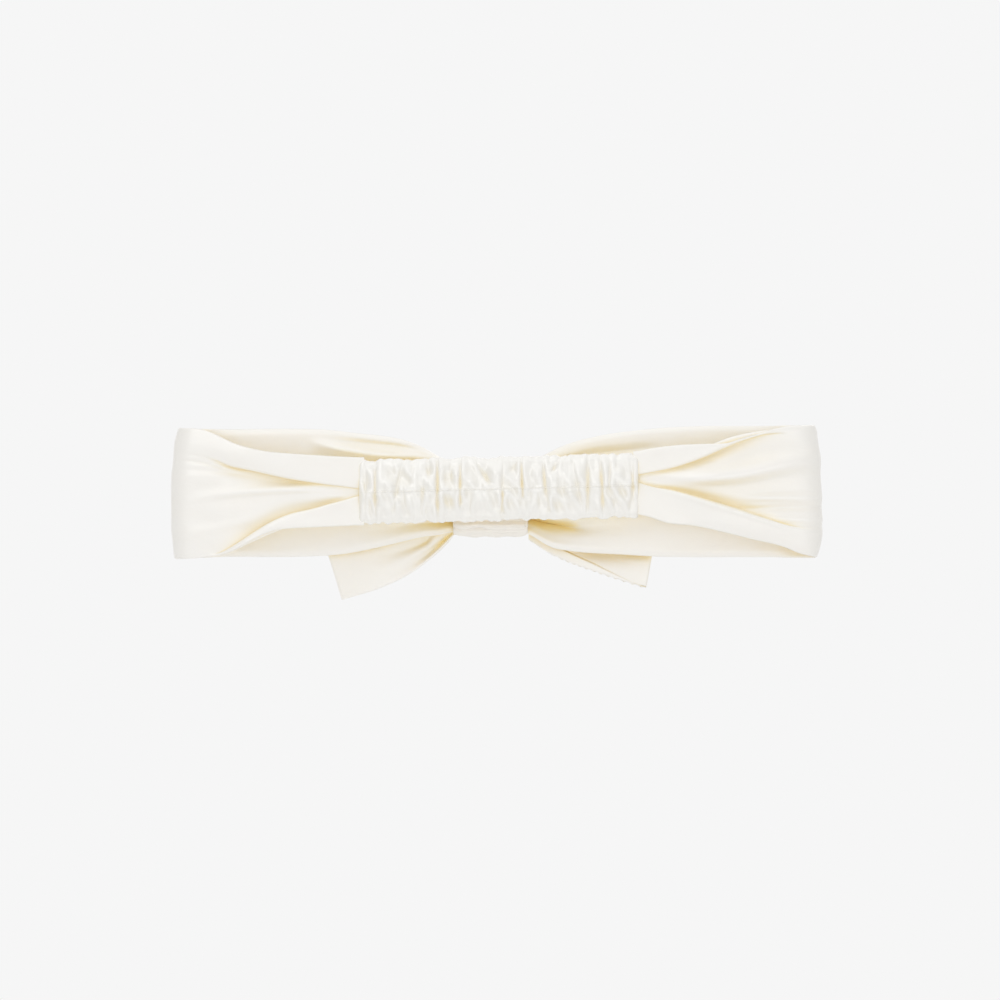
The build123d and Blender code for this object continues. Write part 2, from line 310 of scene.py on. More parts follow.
def satin(name, tint, shade, roughness, deep=FOLD_SHADE_GOLD, by_place=False):
    """Ivory satin: a fine weave, long soft slubs and small changes of tone, all in millimetres of cloth.

    tint and shade are its lighter and darker tone, and deep is the painted shade colour it takes on in the
    depth of a fold.
    by_place measures the patterns in space, for a piece that has no cloth coordinates.
    """
    coordinates = "ShaderNodeTexCoord" if by_place else "ShaderNodeUVMap"
    material, nodes, links, shader, place = blank(name, coordinates)
    if not by_place:
        place.uv_map = "cloth"
    unit = 1 / MM if by_place else 1.0

    def mapped(scale, turn=0.0):
        mapping = nodes.new("ShaderNodeMapping")
        mapping.inputs["Scale"].default_value = (scale[0] * unit, scale[1] * unit, scale[1] * unit)
        mapping.inputs["Rotation"].default_value = (0, 0, turn)
        links.new(place.outputs["Object" if by_place else "UV"], mapping.inputs["Vector"])
        return mapping.outputs["Vector"]

    def noise(scale, detail, turn=0.0):
        texture = nodes.new("ShaderNodeTexNoise")
        texture.inputs["Scale"].default_value = 1.0
        texture.inputs["Detail"].default_value = detail
        links.new(mapped(scale, turn), texture.inputs["Vector"])
        return texture.outputs["Fac"]

    def combined(kind, first, second):
        node = nodes.new("ShaderNodeMath")
        node.operation = kind
        links.new(first, node.inputs[0])
        if isinstance(second, float):
            node.inputs[1].default_value = second
        else:
            links.new(second, node.inputs[1])
        return node.outputs[0]

    tone = two_tones(nodes, links, noise(TONE_SCALE, 3.0), shade, tint, 0.3, 0.7)
    # painted shade: the colour goes over to deep where ambient occlusion finds a fold's walls close round it
    hollow = nodes.new("ShaderNodeAmbientOcclusion")
    hollow.samples = 6
    hollow.inputs["Distance"].default_value = HOLLOW_REACH
    warmed = nodes.new("ShaderNodeMix")
    warmed.data_type = "RGBA"
    warmed.inputs["A"].default_value = (*deep, 1)
    links.new(ranged(nodes, links, hollow.outputs["AO"], (FULL_SHADE_OPENNESS, NO_SHADE_OPENNESS)), warmed.inputs["Factor"])
    links.new(tone, warmed.inputs["B"])
    links.new(warmed.outputs["Result"], shader.inputs["Base Color"])

    # satin floats: fine lines along the cloth, broken up where each thread dips under a crossing one
    lines = nodes.new("ShaderNodeTexWave")
    lines.wave_type, lines.bands_direction = "BANDS", "Y"
    lines.inputs["Scale"].default_value = 0.9
    lines.inputs["Distortion"].default_value = 0.6
    lines.inputs["Detail"].default_value = 2.0
    links.new(mapped(WEAVE_SCALE), lines.inputs["Vector"])
    slubs = combined("MULTIPLY", noise(SLUB_SCALE, 2.0), SLUB_HEIGHT)
    crush = combined("MULTIPLY", noise(CRUSH_SCALE, 4.0, 0.3), CRUSH_HEIGHT)
    height = combined("ADD", combined("ADD", lines.outputs["Fac"], slubs), crush)
    add_relief(nodes, links, shader, height, SATIN_RELIEF, 0.35)

    rough = ranged(nodes, links, noise(SHINE_SCALE, 3.0), result=(roughness - 0.05, roughness + 0.07))
    links.new(rough, shader.inputs["Roughness"])
    shader.inputs["Specular IOR Level"].default_value = 1.0
    shader.inputs["IOR"].default_value = SILK_IOR
    shader.inputs["Sheen Weight"].default_value = 0.1
    shader.inputs["Sheen Roughness"].default_value = 0.45
    shader.inputs["Sheen Tint"].default_value = (1.0, 0.97, 0.91, 1.0)
    return material


def thread_material():
    """Twisted sewing thread."""
    material, nodes, links, shader, place = blank("sewing_thread")
    twist = nodes.new("ShaderNodeTexWave")
    twist.wave_type, twist.bands_direction = "BANDS", "DIAGONAL"
    twist.inputs["Scale"].default_value = 900.0
    links.new(place.outputs["Object"], twist.inputs["Vector"])
    tone = two_tones(nodes, links, twist.outputs["Fac"], (0.88, 0.85, 0.77), (0.94, 0.92, 0.87))
    links.new(tone, shader.inputs["Base Color"])
    add_relief(nodes, links, shader, twist.outputs["Fac"], 0.1 * MM)
    shader.inputs["Roughness"].default_value = 0.5
    return material


def elastic_material():
    """Woven elastic: ribs along its length, crossed by the weave."""
    material, nodes, links, shader, place = blank("woven_elastic")
    both = nodes.new("ShaderNodeMath")
    both.operation = "MULTIPLY"
    for socket, direction, scale in ((0, "Z", 330.0), (1, "X", 500.0)):
        wave = nodes.new("ShaderNodeTexWave")
        wave.wave_type, wave.bands_direction = "BANDS", direction
        wave.inputs["Scale"].default_value = scale
        wave.inputs["Distortion"].default_value = 0.4
        links.new(place.outputs["Object"], wave.inputs["Vector"])
        links.new(wave.outputs["Fac"], both.inputs[socket])
    tone = two_tones(nodes, links, both.outputs[0], (0.62, 0.60, 0.56), (0.86, 0.85, 0.82))
    links.new(tone, shader.inputs["Base Color"])
    add_relief(nodes, links, shader, both.outputs[0], 0.2 * MM)
    shader.inputs["Roughness"].default_value = 0.8
    return material


IVORY, CREAM = (0.935, 0.912, 0.862), (0.93, 0.897, 0.835)
# Each satin's last colour, or the fold gold where none is given, is the painted shade deep in its folds
OUTER = satin("band_satin", IVORY, CREAM, 0.30)
INNER = satin("tail_root_satin", IVORY, CREAM, 0.30, by_place=True)
# The lining's tones are lighter than the outer face's: painted light, which brightens the front band's inner
# face and the tails, lying back from the lamps
LINING = satin("lining_satin", (0.957, 0.93, 0.873), (0.952, 0.92, 0.853), 0.34, (1.0, 0.84, 0.40))
RUCHED = satin("casing_satin", (0.922, 0.906, 0.86), (0.912, 0.89, 0.836), 0.22, (0.96, 0.85, 0.58))
WRAP = satin("knot_satin", (0.91, 0.87, 0.79), (0.90, 0.855, 0.765), 0.34, (0.97, 0.925, 0.865))
THREAD = thread_material()
ELASTIC = elastic_material()

# -------- the band

# Outlines of each pleated end, by distance outwards from the casing's seam along the cloth: the cloth's own
# top and bottom edges, and the folds of the upper and the lower flap. Heights in millimetres.
PLEATS = {
    -1: {
        "top": [(0, 13.3), (11, 13.8), (24, 14.6), (35, 15.7), (45, 18.3), (53, 21.6), (58, 23.3),
                (67, 24.1), (80, 24.1), (98, 23.9)],
        "upper": [(0, 1.1), (11, 2.9), (28, 5.7), (38, 8.0), (48, 10.2), (54, 12.3), (60, 13.6)],
        "lower": [(0, -0.1), (6, -2.1), (16, -5.2), (26, -7.7), (32, -10.4), (37, -13.4), (42, -16.7),
                  (48, -20.2), (53, -22.0)],
        "bottom": [(0, -11.7), (11, -12.2), (24, -12.8), (30, -13.4), (36, -15.8), (44, -20.0), (49, -22.2),
                   (56, -23.3), (98, -23.6)],
    },
    1: {
        "top": [(0, 15.4), (6, 16.6), (16, 17.8), (26, 18.2), (33, 18.4), (38, 19.6), (44, 21.4), (50, 23.2),
                (56, 24.5), (68, 25.2), (98, 25.2)],
        "upper": [(0, 5.9), (8, 7.8), (16, 9.8), (22, 11.8), (28, 14.2), (32, 16.1), (36, 17.9), (41, 19.7),
                  (48, 21.6)],
        "lower": [(0, 5.2), (7, 2.8), (14, 1.3), (22, -0.9), (30, -3.2), (39, -5.9), (47, -8.6), (55, -11.1),
                  (64, -13.2)],
        "bottom": [(0, -7.5), (6, -8.9), (10, -10.4), (22, -11.9), (33, -14.3), (43, -16.8), (55, -19.6),
                   (62, -22.2), (68, -23.2), (98, -23.7)],
    },
}
# Outlines of the front band between a side fold and the knot, by distance from the middle
FRONT = {
    -1: {
        "top": [(14, 9.8), (19, 12.2), (22.7, 14.5), (28.3, 17.7), (35.7, 20.3), (44, 21.7), (52, 22.5),
                (62, 23.7), (75, 24.1), (97.4, 23.9)],
        "bottom": [(14, -14.4), (17.9, -14.4), (20.9, -15.3), (26.4, -15.9), (32, -17.2), (39.4, -19.0),
                   (46.8, -20.7), (55, -22.3), (72, -23.5), (97.4, -23.6)],
    },
    1: {
        "top": [(11, 11.0), (16, 13.4), (22.7, 16.9), (28.7, 19.2), (36.4, 21.1), (43.8, 22.5), (52, 23.5),
                (62, 24.5), (75, 25.1), (97.4, 25.2)],
        "bottom": [(11, -14.4), (14.6, -16.5), (17.9, -18.7), (20.5, -20.0), (26, -21.2), (32.7, -22.0),
                   (43.8, -22.6), (58, -23.4), (97.4, -23.7)],
    },
}
PLEATS_END = 98.0  # the pleated outlines end here, a little past the side fold
STRAIGHT = FOLD_X - SEAM_X  # how far the cloth runs from the casing's seam before it turns
TURN = pi * LAYER_Y  # and how long its turn is
FOLD_REACH = 8.0  # how far the side fold stands out past its axis
FLATNESS = 2.25  # 2 would bend it round an ellipse, and more presses it flatter
SPLIT_X = 84.0  # the front band is cut into two pieces here, where it lies flat
ACROSS = 132  # points across the cloth
STEP = 0.8  # millimetres between points along it
TUCKED = {-1: 2.4, 1: 0.8}  # each pleated end goes on this far into the casing's mouth
FLAP_BULGE = 0.25  # how far each flap stands out between its fold and its other edge
RIDGE_WIDTH = 0.12  # the ridge beside the lower flap's fold, as a share of the flap
OPEN_RADIUS = 0.4  # a pleat with less than this between its layers is softened
EDGE_ROLL, EDGE_ROLL_WIDTH = 1.0, 1.3
FOLD_LEAN, FOLD_WAIST = 0.0030, -4.0  # the side fold leans in by the square of the height from its waist


def band_path(side, distance):
    """The band's middle line from the casing's seam round the side fold to the knot, with its normals."""
    turned = np.clip((distance - STRAIGHT) / LAYER_Y, 0, pi)
    before, after = np.minimum(distance, STRAIGHT), np.maximum(distance - STRAIGHT - TURN, 0)
    sine, cosine = np.sin(turned), np.cos(turned)
    square = (sine**FLATNESS + np.abs(cosine) ** FLATNESS) ** (1 / FLATNESS)
    x = SEAM_X + before + FOLD_REACH * sine / square - after
    y = -LAYER_Y * cosine / square
    place = np.stack([side * x, y], axis=-1)
    normal = np.stack([side * sine, -cosine], axis=-1)
    place, normal = blur(place, 10, 0), blur(normal, 10, 0)
    return place, normal / np.linalg.norm(normal, axis=-1, keepdims=True)


def arc(rise, radius, side, start, end):
    """A half circle of the pleat's section, from height start to height end, that bulges out or back."""
    t = np.linspace(0, pi, 9)
    return [(rise + side * radius * sin(a), (start + end) / 2 + (start - end) / 2 * cos(a)) for a in t]


def pleat_section(top, upper, lower, bottom, radius, share, tilt):
    """The cloth's section across an inverted pleat, as points (rise, height) spaced evenly along the cloth.

    radius is half the distance between the layers. share is the upper flap's part of the hidden cloth.
    tilt is how much further out the lower flap lies along its fold than along its other edge, less the
    small ridge beside the fold. The third column is 1 in the sunken middle and 0 elsewhere.
    """
    hidden = max(BAND_WIDTH - (top - bottom), 0.0)
    radius = min(radius, hidden / (4 * pi + 4))
    tuck = max(hidden - 4 * pi * radius, 0.0) / 2
    up, down = tuck * share, tuck * (1 - share)
    front, middle, back = 3 * radius, radius, -radius
    inset = radius + CLOTH / 2 * min(radius / 0.3, 1)
    upper, lower = upper + inset, lower - inset
    line = [(top + (upper - top) * t, front + FLAP_BULGE * (sin(pi * t) - (1 - t) ** 4))
            for t in np.linspace(0, 1, 12)]
    line += arc(upper, radius, -1, front, middle)
    line += arc(upper + up, radius, 1, middle, back)
    sunk = len(line)
    line += arc(lower - down, radius, -1, back, middle)
    line += arc(lower, radius, 1, middle, front + tilt / 2)
    for t in np.linspace(0, 1, 24):
        ridge = 0.2 * tilt * np.exp(-((t / RIDGE_WIDTH) ** 2))
        rise = front + tilt * (0.5 - t) + ridge + FLAP_BULGE * (sin(pi * t) - t**4)
        line.append((lower + (bottom - lower) * t, rise))
    line = np.array(line)
    flag = np.zeros(len(line))
    flag[sunk - 1 : sunk + 1] = 1
    steps = np.hypot(*np.diff(line, axis=0).T)
    along = np.concatenate([[0], np.cumsum(steps)])
    even = np.linspace(0, along[-1], ACROSS)
    section = np.stack([np.interp(even, along, column) for column in (*line.T, flag)], axis=1)
    softness = int(round(2 + 26 * (1 - min(radius / OPEN_RADIUS, 1.0))))
    return blur(section, softness, 0)


def band_surface(side):
    """The middle surface of half the band, from the casing's seam to inside the knot."""
    outline = {key: curve_through(points) for key, points in PLEATS[side].items()}
    front = {key: curve_through(points) for key, points in FRONT[side].items()}
    total = STRAIGHT + TURN + FOLD_X - side * KNOT_X
    distance = np.linspace(-TUCKED[side], total, int(total / STEP) + 1)
    place, normal = band_path(side, distance)
    across = np.linspace(0, 1, ACROSS)
    heights, rises, sunk = (np.zeros((len(distance), ACROSS)) for _ in range(3))
    # half the distance between the pleat's layers, by distance from the casing's seam
    gap = curve_through([(-2, 0.20), (0, 0.22), (12, 0.42), (30, 0.75), (45, 0.70), (60, 0.35), (75, 0.1)])
    for k, d in enumerate(distance):
        if d <= PLEATS_END:
            # on the right the lower flap takes most of the hidden cloth further out, and its fold stands up
            share = 0.5 if side < 0 else 0.5 - 0.35 * smoothstep(30.0, 55.0, d)
            tilt = 0.0 if side < 0 else 2.6 * smoothstep(4.0, 30.0, d) * (1 - smoothstep(60.0, 80.0, d))
            edges = (float(outline[key](d)) for key in ("top", "upper", "lower", "bottom"))
            section = pleat_section(*edges, float(gap(d)), float(share), float(tilt))
            heights[k], rises[k], sunk[k] = section.T
        else:
            x = abs(place[k, 0])
            heights[k] = front["top"](x) + (front["bottom"](x) - front["top"](x)) * across
    return distance, place, normal, blur(heights, 3, 0), blur(rises, 3, 0), blur(sunk, 3, 0)


def gathers(side, x, across):
    """How far the front band's folds stand out, growing towards the knot."""
    depth = curve_through([(10, 1.9), (18, 1.8), (26, 1.1), (36, 0.4), (48, 0.1), (60, 0.0)])(x)
    wander = 0.012 * ripples(x, across * 40, 11 + side, (50, 40))
    folds, start = 3.4, 0.10 if side < 0 else 0.30
    phase = 2 * pi * (folds * (across + wander) + start)
    return depth * (np.cos(phase) + 0.3 * np.cos(2 * phase + 0.8))


def creases(rows, place, heights):
    """Soft ridges along the cloth, or hollows where the size is below zero.

    A row is the points (place, height) of its line, its size, and its width above and below that line.
    """
    rise = np.zeros(np.broadcast(place, heights).shape)
    for points, size, above, below in rows:
        start, end = points[0][0], points[-1][0]
        away = heights - curve_through(points)(place)
        spread = 0.5 + 0.5 * np.clip((place - start) / (end - start), 0, 1)
        third = (end - start) / 3
        fade = smoothstep(start - 1.5, start + third, place)
        fade = fade * (1 - smoothstep(end - third, end + 1.5, place))
        rise += size * fade * np.exp(-((away / spread / np.where(away > 0, above, below)) ** 2))
    return rise


# The sunken middle of each pleat: a swelling with a trench beside the upper and the lower fold, each as its
# depth and its width by distance from the casing's seam
SUNK = {
    -1: {"swell": [(4, 0.2), (14, 1.0), (30, 1.5), (48, 1.2), (62, 0.3), (70, 0.0)],
         "upper": ([(4, 0.0), (14, 0.4), (24, 1.2), (36, 1.45), (48, 1.15), (60, 0.4), (68, 0.0)],
                   [(4, 0.4), (15, 0.9), (24, 2.2), (32, 3.8), (44, 4.2), (56, 3.4)]),
         "lower": ([(4, 0.1), (9, 1.0), (24, 1.5), (36, 1.3), (48, 0.8), (64, 0.0)],
                   [(4, 0.5), (14, 2.4), (24, 3.6), (36, 4.0), (48, 4.4)])},
    1: {"swell": [(4, 0.2), (14, 1.0), (30, 1.5), (48, 1.2), (62, 0.4), (70, 0.0)],
        "upper": ([(4, 0.2), (12, 0.8), (26, 1.2), (38, 1.1), (52, 0.4), (60, 0.0)],
                  [(4, 0.6), (16, 1.8), (30, 2.8), (50, 3.4)]),
        "lower": ([(4, 0.2), (14, 0.9), (24, 1.45), (34, 1.3), (44, 0.7), (52, 0.0)],
                  [(4, 0.5), (15, 1.5), (28, 2.9), (44, 3.8)])},
}
# Ridges and hollows in the sunken middle, by distance from the casing's seam
MIDDLE_CREASES = {
    -1: [([(8, 1.3), (24, 1.3), (40, 0.6), (64, -2.5)], 0.9, 2.6, 1.5),
         ([(38, 8.4), (47, 9.8), (56, 13.4), (70, 15.2)], -0.4, 1.0, 1.0),
         ([(44, 7.2), (54, 10.4), (70, 12.8)], -0.3, 0.9, 0.9),
         ([(38, 6.0), (52, 8.0), (70, 8.8)], -0.3, 1.6, 1.6),
         ([(36, -8.5), (48, -12.0), (68, -16.0)], 0.4, 3.0, 2.2)],
    1: [([(9, 5.4), (24, 5.6), (38, 6.8), (52, 9.8), (74, 14.0)], 3.2, 5.4, 3.6),
        ([(38, -1.8), (54, -1.6), (74, -1.8)], 0.8, 2.2, 1.6),
        ([(36, -5.6), (52, -5.2), (74, -5.0)], -0.6, 1.6, 1.8),
        ([(50, -9.0), (62, -9.6), (74, -9.4)], 0.5, 1.6, 1.6)],
}
# Ridges and hollows that the gathers leave in the front band, by distance from the middle
FRONT_CREASES = {
    -1: [([(28, 13.0), (36, 13.5), (46, 14.2), (58, 16.2), (70, 19.0)], -3.2, 2.2, 3.0),
         ([(24, 15.2), (36, 17.6), (48, 18.8), (62, 20.2)], 0.9, 1.6, 1.6),
         ([(22, 12.4), (29, 13.6), (35, 14.2)], -0.6, 1.2, 1.5)],
    1: [([(11, -9.4), (22, -11.4), (32, -13.4)], 2.6, 2.0, 1.5),
        ([(30, 15.0), (44, 16.0), (62, 17.6)], 1.0, 1.8, 2.0)],
}


def sunken_middle(side, distance, heights):
    """How far the middle of the pleat stands out from where the pressed cloth would lie."""
    shape = SUNK[side]
    rise = curve_through(shape["swell"])(distance) * np.ones_like(heights)
    for key, sign in (("upper", 1), ("lower", -1)):
        from_fold = np.clip(sign * (curve_through(PLEATS[side][key])(distance) - heights), 0, None)
        depth, width = (curve_through(points)(distance) for points in shape[key])
        rise = rise - depth * np.exp(-((from_fold / width) ** 2.4))
    return rise + creases(MIDDLE_CREASES[side], distance, heights)


def half_band(side, name):
    """Both pieces of half the band: the gathered front and the pleated side."""
    distance, place, normal, heights, rises, sunk = band_surface(side)
    across = np.linspace(0, 1, ACROSS)[None, :]
    d, x = distance[:, None], np.abs(place[:, :1])
    on_front = smoothstep(STRAIGHT + TURN, STRAIGHT + TURN + 12, d)
    rises = rises + on_front * (gathers(side, x, across) + creases(FRONT_CREASES[side], x, heights))
    # the front band's edges roll back a little
    from_edge = np.minimum(heights[:, :1] - heights, heights - heights[:, -1:])
    rises = rises + on_front * EDGE_ROLL * np.exp(-((from_edge / EDGE_ROLL_WIDTH) ** 2))
    rises = rises + sunk * sunken_middle(side, d, heights)
    slack = ripples(d, heights, 3 + side, (38, 16)) * smoothstep(3, 14, d)
    rises = rises + 0.16 * slack * (1 - on_front * 0.6)
    # the side fold leans in a little at its top and bottom
    near_fold = smoothstep(40, STRAIGHT + 4, d) * (1 - smoothstep(80, 105, d))
    lean = -side * FOLD_LEAN * (heights - FOLD_WAIST) ** 2 * near_fold
    points = np.stack([
        place[:, :1] + normal[:, :1] * rises + lean,
        place[:, 1:] + normal[:, 1:] * rises,
        heights,
    ], axis=2)
    if side > 0:
        points = points[:, ::-1]  # so that the outer face is outside
    thickness = rounded_edges(ACROSS, BAND_WIDTH, CLOTH, 0.7)[None, :]
    before_front = distance < STRAIGHT + TURN
    split = int(np.argmin(np.where(before_front, np.inf, np.abs(x[:, 0] - SPLIT_X))))
    pleated = cloth_shell(f"{name}_side_band", points[: split + 1], thickness, [OUTER, LINING])
    gathered = cloth_shell(f"{name}_front_band", points[split:], thickness, [OUTER, LINING])
    return pleated, gathered


# -------- the elastic casing

CASING_START, CASING_END = -50.2, 51.9
CASING_HALF = 11.5  # half its height
CASING_CLOTH, SEAM_CLOTH = 0.4, 0.3
ELASTIC_ROOM, EDGE_ROOM = 1.35, 0.45  # half the depth kept free round the elastic, and in the tube's edges
MOUTH_HALF, MOUTH_REACH = 2.1, 2.0  # half the depth of each mouth, and how far in the tube rounds off to it
CASING_CREST, CASING_ROUND = 2.9, 1.4  # how far its middle stands out, and the roundness of its edges
casing_middle = curve_through([(CASING_START, 0.45), (CASING_END, 3.0)])

# Gathers drawn in by the elastic: where each one lies at the top edge, the middle and the bottom edge,
# the part of the height it covers (1 is the top edge, -1 the bottom), its depth and its width
CASING_GATHERS = [
    (-48.2, -48.0, -48.4, 1.1, -1.1, 0.5, 0.6),
    (-44.6, -44.4, -44.4, 1.1, -1.1, 0.9, 0.7),
    (-47.4, -46.8, -45.0, -0.2, -1.1, 0.8, 0.7),
    (-38.0, -37.6, -37.4, 1.1, 0.5, 0.5, 1.6),
    (-34.0, -36.6, -38.5, 1.0, -0.7, 0.6, 0.9),
    (-34.4, -34.2, -31.8, 0.2, -1.0, 0.4, 0.9),
    (-30.9, -31.2, -32.0, 1.1, 0.5, 0.6, 0.8),
    (-26.4, -27.0, -27.9, 0.1, -1.1, 0.6, 0.8),
    (-25.7, -25.7, -25.8, -0.6, -1.1, 0.6, 0.6),
    (-25.0, -24.4, -23.6, 1.1, 0.45, 0.8, 0.8),
    (-21.6, -21.6, -21.4, 1.1, -1.1, 1.15, 0.7),
    (-16.9, -16.8, -17.0, 1.1, 0.35, 1.0, 1.5),
    (-13.3, -13.3, -13.3, 0.95, -0.55, 0.9, 0.6),
    (-17.2, -17.2, -17.2, -0.65, -1.1, 0.6, 0.9),
    (-9.0, -9.6, -9.9, -0.3, -1.1, 0.5, 0.7),
    (-8.6, -1.4, 4.0, 0.95, 0.2, 0.9, 0.8),
    (-3.9, -3.9, -3.9, 1.1, 0.45, 0.5, 1.8),
    (2.6, 2.2, 2.2, 1.1, -1.1, 0.35, 0.5),
    (2.6, 2.2, 2.2, -0.1, -1.1, 0.8, 0.6),
    (8.2, 2.6, -3.0, 1.1, 0.6, 0.9, 0.8),
    (9.0, 9.5, 10.2, 1.1, -0.3, 1.15, 0.6),
    (13.2, 12.6, 12.0, 1.1, 0.5, 0.6, 1.6),
    (17.0, 17.9, 20.0, 1.1, -0.8, 0.8, 0.7),
    (23.4, 17.4, 11.0, 1.1, 0.5, 0.9, 0.7),
    (27.6, 29.6, 32.2, 0.9, -0.8, 0.6, 1.1),
    (33.6, 33.4, 33.4, 1.1, -0.9, 0.8, 0.7),
    (37.9, 38.6, 39.2, 1.1, -1.1, 0.85, 0.6),
    (41.8, 41.2, 40.8, 1.1, -0.1, 0.6, 0.6),
    (43.9, 44.3, 44.6, 1.1, 0.5, 0.7, 1.3),
    (43.1, 43.1, 43.1, -0.4, -1.1, 0.5, 0.8),
    (49.0, 49.9, 49.0, 1.1, -1.1, 1.0, 0.6),
]


def gathered_depth(x, height, seed):
    """How far the casing's cloth stands out or in from its even shape. height runs from -1 to 1."""
    shift = 0.0 if seed == 0 else np.random.default_rng(seed).uniform(1.5, 3.0)
    fade = 0.12  # how gently each gather ends
    depth = np.zeros(np.broadcast(x, height).shape)
    for top, middle, bottom, high, low, size, width in CASING_GATHERS:
        bend = top + bottom - 2 * middle
        line = middle + (top - bottom) / 2 * height + bend / 2 * height**2 + shift
        reach = smoothstep(low - fade, low + fade, height)
        reach = reach * (1 - smoothstep(high - fade, high + fade, height))
        away = np.abs(x - line) / width
        puffs = 0.32 * np.exp(-(((away - 2.3) / 1.5) ** 2))
        depth += reach * size * (puffs - np.exp(-((away / 0.75) ** 1.5)))
    # the puffs between them differ above and below the stitched middle
    above = smoothstep(-fade, fade, height)
    for share, offset in ((above, 0), (1 - above, 7)):
        slant = x + 3.5 * height
        depth += 0.8 * share * ripples(slant, height * CASING_HALF, 40 + seed + offset, (6.4, 10.0), 9)
    depth += (0.05 + 0.14 * height**4) * ripples(x, height * CASING_HALF, 60 + seed, (2.6, 8.0), 9)
    return depth


def elastic_casing():
    """The ruched tube, with the row of stitches along its middle."""
    x = np.linspace(CASING_START, CASING_END, 460)[:, None]
    # round the tube: 0 faces away from the knot, and a quarter is the top
    turn = np.linspace(0, 2 * pi, 144, endpoint=False)[None, :]
    out, up = np.cos(turn), np.sin(turn)
    ends = np.minimum(x - CASING_START, CASING_END - x)
    front, rear = gathered_depth(x, up, 0), gathered_depth(x, up, 5)
    puckers = np.where(out > 0, front, rear)
    edge = 1 - np.abs(out)
    shared = 0.6 * edge**2
    puckers = puckers * (1 - shared) + shared * (front + rear) / 2
    even = CASING_CREST * (1 - np.abs(up) ** 1.35) + CASING_ROUND * np.sqrt(np.maximum(1 - up**2, 0))
    even = even * (0.55 + 0.45 * smoothstep(0.0, 9.0, ends))  # flatter towards both ends
    stitched = 0.12 * np.exp(-((up * CASING_HALF / 0.9) ** 2))
    half = even + puckers * (1 - edge) - stitched
    # it never closes on the elastic inside
    inside = ELASTIC_ROOM + (EDGE_ROOM - ELASTIC_ROOM) * smoothstep(0.82, 0.98, np.abs(up))
    half = inside + 0.5 * (half - inside + np.sqrt((half - inside) ** 2 + 0.25))
    mouth = np.sqrt(1 - (1 - np.clip(ends / MOUTH_REACH, 0, 1)) ** 2)
    narrow = np.minimum(half, MOUTH_HALF)
    half = narrow + (half - narrow) * mouth - 0.5 * (1 - mouth)
    scallops = ripples(x, 30 * np.sign(up), 76, (4.4, 200.0))
    tall = CASING_HALF - 0.55 * (1 - mouth) + (0.25 * (front + rear) + 0.3 * scallops) * np.abs(up) ** 3
    points = np.stack([
        x + 0 * turn,
        -LAYER_Y - np.sign(out) * half * np.minimum(np.abs(out) * 6, 1) ** 0.5,
        casing_middle(x) + tall * up,
    ], axis=2)
    points = blur(points, 1, 0)
    casing = cloth_shell("ruched_casing", points, CASING_CLOTH, [RUCHED, LINING], closed_v=True)
    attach(casing, "casing")
    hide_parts("elastic_casing")

    ridge = points[:, 0] + np.array([0.0, -0.16, 0.0])
    runs = []
    spacing, length = 3.0, 2.1
    for start in np.arange(CASING_START + 2.0, CASING_END - 3.5, spacing):
        places = np.linspace(start, start + length, 7)
        depths = np.interp(places, x[:, 0], ridge[:, 1])
        runs.append([[place, depth, casing_middle(place)] for place, depth in zip(places, depths)])
    row = threads("casing_stitches_thread", runs, FINE_THREAD, THREAD)
    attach(row, "casing")
    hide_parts("casing_stitches")


def seam_allowance(side, name):
    """The band's and the casing's raw ends, rolled together inside the casing's mouth and sewn through."""
    end = CASING_END if side > 0 else CASING_START
    middle = float(casing_middle(end))
    reach = 10.6  # the roll's half height
    rise = np.linspace(-reach, reach, 90)[:, None]
    turn = np.linspace(0, 2 * pi, 28, endpoint=False)[None, :]
    radius = 0.75 + 0.10 * ripples(rise, turn, 80 + side, (3.0, 4.0))
    radius = radius * (1 - 0.75 * smoothstep(reach - 1.2, reach, np.abs(rise)))
    points = np.stack([
        end - side * 1.6 + 1.1 * radius * np.cos(turn) + 0.12 * np.sin(rise * 0.9),
        -LAYER_Y + radius * np.sin(turn),
        middle + rise + 0 * turn,
    ], axis=2)
    roll = cloth_shell(f"{name}_seam_roll", points, SEAM_CLOTH, [LINING, LINING], closed_v=True)
    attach(roll, "casing")
    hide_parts(f"{name}_seam_allowance")
    runs = []
    x, y = end - side * 0.25, -LAYER_Y - 1.05
    spacing, length = 2.6, 1.7
    for start in np.arange(-10.0, 9.0, spacing):
        runs.append([[x, y, middle + start + step] for step in np.linspace(0, length, 5)])
    row = threads(f"{name}_seam_thread", runs, SEAM_THREAD, THREAD)
    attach(row, "casing")
    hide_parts(f"{name}_seam_stitches")


# -------- the knot and its tails


